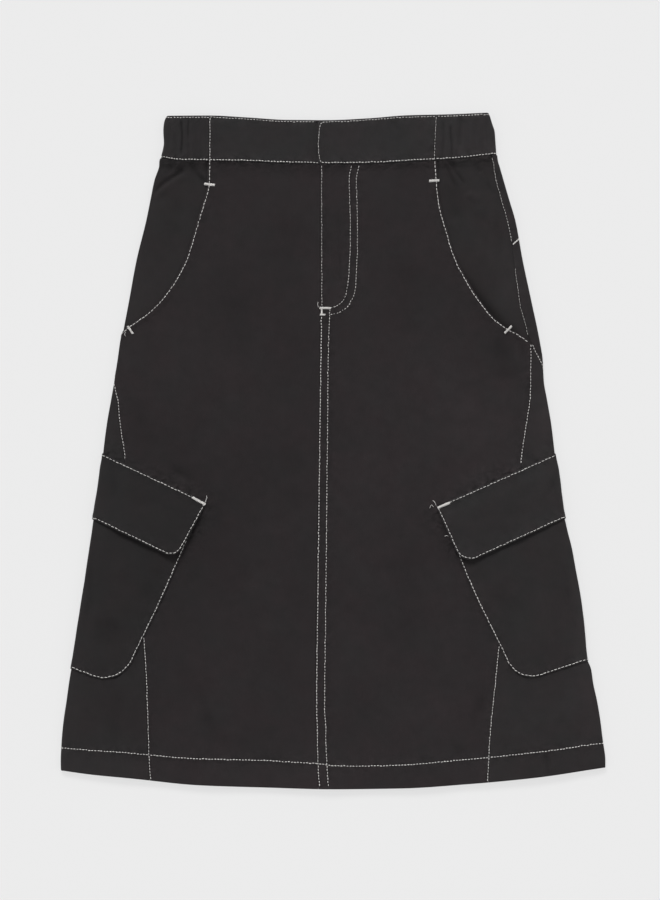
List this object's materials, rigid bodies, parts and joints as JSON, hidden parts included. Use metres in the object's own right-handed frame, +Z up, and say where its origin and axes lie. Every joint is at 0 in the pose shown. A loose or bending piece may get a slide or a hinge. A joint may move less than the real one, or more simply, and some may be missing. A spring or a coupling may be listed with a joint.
{
  "type": "cargo utility skirt",
  "caption": "Knee-length A-line utility skirt laid flat: curved hip pockets, slanted cargo pockets with flaps, side panels and a part-elasticated waistband.",
  "frame": {"origin": "middle of the laid skirt's footprint, on the surface that it lies on", "axes": "+Y up the skirt towards the waist, +X to the right as the front is seen, +Z up off the surface"},
  "size_m": [0.609, 0.757, 0.0082],
  "materials": {
    "front_cloth": "matt washed-black cotton twill, off-white topstitching",
    "side_cloth": "matt washed-black cotton twill, off-white topstitching",
    "back_cloth": "matt washed-black cotton twill",
    "facing_cloth": "matt washed-black cotton twill, in the shade of the pocket opening",
    "band_cloth": "matt washed-black cotton twill, folded double, off-white topstitching",
    "pocket_cloth": "matt washed-black cotton twill, off-white topstitching",
    "flap_cloth": "matt washed-black cotton twill, off-white topstitching"
  },
  "bodies": {
    "root": {"front_panel_left": "front_cloth", "front_panel_right": "front_cloth", "hip_facing_left": "facing_cloth", "hip_facing_right": "facing_cloth", "side_panel_left": "side_cloth", "side_panel_right": "side_cloth", "back_panel": "back_cloth", "waistband_front_left": "band_cloth", "waistband_front_right": "band_cloth", "waistband_back": "band_cloth", "cargo_pocket_left": "pocket_cloth", "cargo_pocket_right": "pocket_cloth", "cargo_flap_left": "flap_cloth", "cargo_flap_right": "flap_cloth"}
  },
  "joints": []
}
